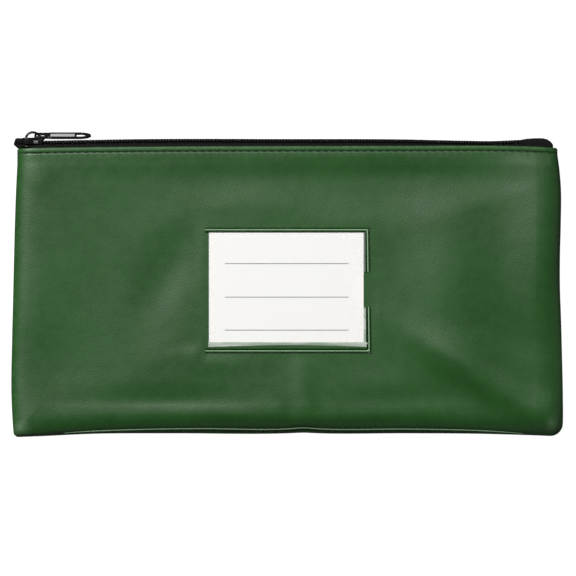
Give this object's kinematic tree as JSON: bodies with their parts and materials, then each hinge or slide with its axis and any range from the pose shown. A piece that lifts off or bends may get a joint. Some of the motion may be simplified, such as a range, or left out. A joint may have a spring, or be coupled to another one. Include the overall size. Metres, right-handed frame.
{
  "type": "cash deposit bag",
  "caption": "Flat zippered vinyl bag for cash and cheques, with a clear name-card pocket on its front and a coil zipper along its top.",
  "frame": {"origin": "under the middle of the whole object, on the surface its back panel lies on", "axes": "+X along the zipper, from the slider's closed end to its open end; +Y from the bottom seam to the zipper; +Z out of the front panel"},
  "size_m": [0.2794, 0.1554, 0.0139],
  "materials": {
    "vinyl": "satin",
    "green_thread": "matte",
    "black_tape": "matte",
    "black_nylon": "satin",
    "black_thread": "matte",
    "clear_film": "gloss",
    "white_card": "matte",
    "black_enamel": "gloss"
  },
  "bodies": {
    "bag": {"back_panel": "vinyl", "back_hem_stitching": "green_thread", "back_zipper_tape": "black_tape", "back_coil": "black_nylon", "back_coil_cord": "black_thread", "back_coil_stitching": "black_thread", "left_seam_stitching": "green_thread", "right_seam_stitching": "green_thread", "bottom_seam_stitching": "green_thread", "left_zipper_bartack": "black_thread", "right_zipper_bartack": "black_thread"},
    "front": {"front_panel": "vinyl", "front_hem_stitching": "green_thread", "front_zipper_tape": "black_tape", "front_coil": "black_nylon", "front_coil_cord": "black_thread", "front_coil_stitching": "black_thread", "window_film": "clear_film"},
    "slider": {"slider_body": "black_enamel"},
    "pull": {"pull_tab": "black_enamel"},
    "card": {"name_card": "white_card"}
  },
  "joints": [
    {"name": "slider_run", "type": "slide", "parent": "bag", "child": "slider", "axis": [1, 0, 0], "range_m": [0, 0.238], "deforming": ["front_coil", "back_coil", "front_coil_cord", "front_coil_stitching"]},
    {"name": "front_lift", "type": "hinge", "parent": "bag", "child": "front", "pos_m": [0, -0.07585, 0.0065], "axis": [1, 0, 0], "range_deg": [0, 10]},
    {"name": "pull_swing", "type": "hinge", "parent": "slider", "child": "pull", "pos_m": [-0.12775, 0.0753, 0.0065], "axis": [0, -0.342, 0.9397], "range_deg": [0, 180]},
    {"name": "card_slide", "type": "slide", "parent": "front", "child": "card", "axis": [-1, 0, 0], "range_m": [0, 0.082]}
  ],
  "couplings": [
    {"joint": "front_lift", "follows": "slider_run", "rad_per_m": 0.727}
  ]
}
